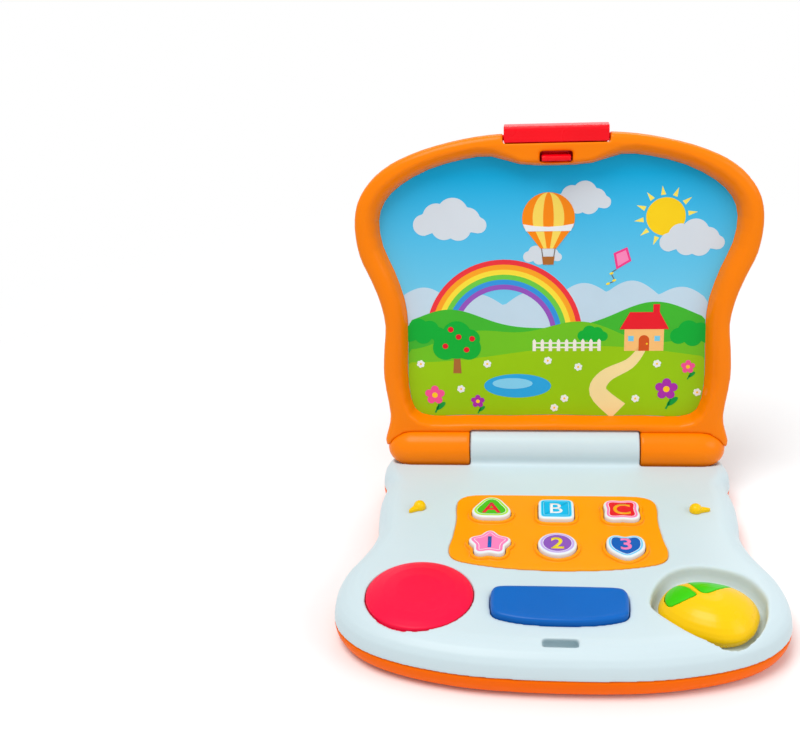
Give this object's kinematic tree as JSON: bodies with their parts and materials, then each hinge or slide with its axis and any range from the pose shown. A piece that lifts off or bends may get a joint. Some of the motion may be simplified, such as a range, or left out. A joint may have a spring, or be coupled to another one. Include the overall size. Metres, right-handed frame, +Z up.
{
  "type": "toy laptop computer",
  "caption": "Toddler's toy laptop: hinged picture lid with latch, shaped keys, push pad, bar button, swivelling mouse and carrying handle.",
  "frame": {"origin": "on the flat underside of the base, midway between the hinge axis and the front edge", "axes": "+X to the player's right, +Y from front edge to hinge and handle, +Z up from the underside"},
  "size_m": [0.231, 0.2405, 0.2239],
  "materials": {
    "white_shell": "moulded, semi-gloss",
    "orange_shell": "moulded, glossy",
    "deep_orange": "moulded, semi-gloss",
    "panel_orange": "moulded, semi-gloss",
    "key_white": "moulded, glossy, printed tops",
    "red": "moulded, fine texture",
    "latch_red": "moulded, glossy",
    "blue": "moulded, semi-gloss",
    "yellow": "moulded, glossy",
    "green": "moulded, glossy",
    "picture": "printed sheet",
    "steel": "zinc plated",
    "board": "circuit board",
    "rubber": "silicone",
    "black": "satin",
    "cell": "plain wrapped cell",
    "lead_red": "insulated wire"
  },
  "bodies": {
    "base": {"bottom_shell": "deep_orange", "top_shell": "white_shell", "hinge_rod": "steel", "case_screws": "steel", "key_panel": "panel_orange", "key_membrane": "rubber", "main_board": "board", "board_parts": "black", "board_screws": "steel", "pad_board": "board", "pad_dome": "rubber", "bar_board": "board", "bar_domes": "rubber", "small_board_screws": "steel", "power_switch": "black", "volume_dial": "black", "speaker": "black", "speaker_clamp": "steel", "speaker_screws": "steel", "battery_door": "deep_orange", "battery_door_screw": "steel", "battery_cells": "cell", "battery_contacts": "steel", "battery_leads": "lead_red", "speaker_leads": "black"},
    "lid": {"lid_back_shell": "orange_shell", "lid_front_frame": "orange_shell", "screen_picture": "picture", "lid_screws": "steel", "latch_spring": "steel"},
    "latch": {"latch": "latch_red"},
    "push_pad": {"push_pad": "red"},
    "bar_button": {"bar_button": "blue"},
    "mouse": {"mouse_shell": "yellow", "mouse_base": "yellow", "mouse_domes": "rubber", "mouse_washer": "steel", "mouse_screw": "steel"},
    "mouse_button_left": {"mouse_button_left": "green"},
    "mouse_button_right": {"mouse_button_right": "green"},
    "power_knob": {"power_knob": "yellow"},
    "volume_knob": {"volume_knob": "yellow"},
    "key_a": {"key_a": "key_white"},
    "key_b": {"key_b": "key_white"},
    "key_c": {"key_c": "key_white"},
    "key_1": {"key_1": "key_white"},
    "key_2": {"key_2": "key_white"},
    "key_3": {"key_3": "key_white"}
  },
  "joints": [
    {"name": "lid_hinge", "type": "hinge", "parent": "base", "child": "lid", "pos_m": [0, 0.095, 0.0313], "axis": [1, 0, 0], "range_deg": [0, 96.6]},
    {"name": "latch_press", "type": "hinge", "parent": "lid", "child": "latch", "pos_m": [0, 0.11901, 0.21617], "axis": [-1, 0, 0], "range_deg": [0, 5], "stiffness_Nm_per_rad": 0.6, "springref_deg": -2.86, "deforming": ["latch_spring"]},
    {"name": "key_a_press", "type": "slide", "parent": "base", "child": "key_a", "axis": [0, 0, -1], "range_m": [0, 0.002], "stiffness_N_per_m": 300, "springref_m": -0.0005, "deforming": ["key_membrane"]},
    {"name": "key_b_press", "type": "slide", "parent": "base", "child": "key_b", "axis": [0, 0, -1], "range_m": [0, 0.002], "stiffness_N_per_m": 300, "springref_m": -0.0005, "deforming": ["key_membrane"]},
    {"name": "key_c_press", "type": "slide", "parent": "base", "child": "key_c", "axis": [0, 0, -1], "range_m": [0, 0.002], "stiffness_N_per_m": 300, "springref_m": -0.0005, "deforming": ["key_membrane"]},
    {"name": "key_1_press", "type": "slide", "parent": "base", "child": "key_1", "axis": [0, 0, -1], "range_m": [0, 0.002], "stiffness_N_per_m": 300, "springref_m": -0.0005, "deforming": ["key_membrane"]},
    {"name": "key_2_press", "type": "slide", "parent": "base", "child": "key_2", "axis": [0, 0, -1], "range_m": [0, 0.002], "stiffness_N_per_m": 300, "springref_m": -0.0005, "deforming": ["key_membrane"]},
    {"name": "key_3_press", "type": "slide", "parent": "base", "child": "key_3", "axis": [0, 0, -1], "range_m": [0, 0.002], "stiffness_N_per_m": 300, "springref_m": -0.0005, "deforming": ["key_membrane"]},
    {"name": "push_pad_press", "type": "slide", "parent": "base", "child": "push_pad", "axis": [0, 0, -1], "range_m": [0, 0.0018], "stiffness_N_per_m": 400, "springref_m": -0.001, "deforming": ["pad_dome"]},
    {"name": "bar_button_press", "type": "slide", "parent": "base", "child": "bar_button", "axis": [0, 0, -1], "range_m": [0, 0.0018], "stiffness_N_per_m": 400, "springref_m": -0.001, "deforming": ["bar_domes"]},
    {"name": "mouse_swivel", "type": "hinge", "parent": "base", "child": "mouse", "pos_m": [0.073, -0.0525, 0.0158], "axis": [0, 0, 1], "range_deg": [-18, 4]},
    {"name": "mouse_left_click", "type": "slide", "parent": "mouse", "child": "mouse_button_left", "axis": [0, 0, -1], "range_m": [0, 0.0007], "stiffness_N_per_m": 300, "springref_m": -0.0005, "deforming": ["mouse_domes"]},
    {"name": "mouse_right_click", "type": "slide", "parent": "mouse", "child": "mouse_button_right", "axis": [0, 0, -1], "range_m": [0, 0.0007], "stiffness_N_per_m": 300, "springref_m": -0.0005, "deforming": ["mouse_domes"]},
    {"name": "power_turn", "type": "hinge", "parent": "base", "child": "power_knob", "pos_m": [-0.077, 0.0335, 0.0258], "axis": [0, 0, 1], "range_deg": [0, 60]},
    {"name": "volume_turn", "type": "hinge", "parent": "base", "child": "volume_knob", "pos_m": [0.077, 0.0335, 0.0258], "axis": [0, 0, 1], "range_deg": [-60, 60]}
  ]
}
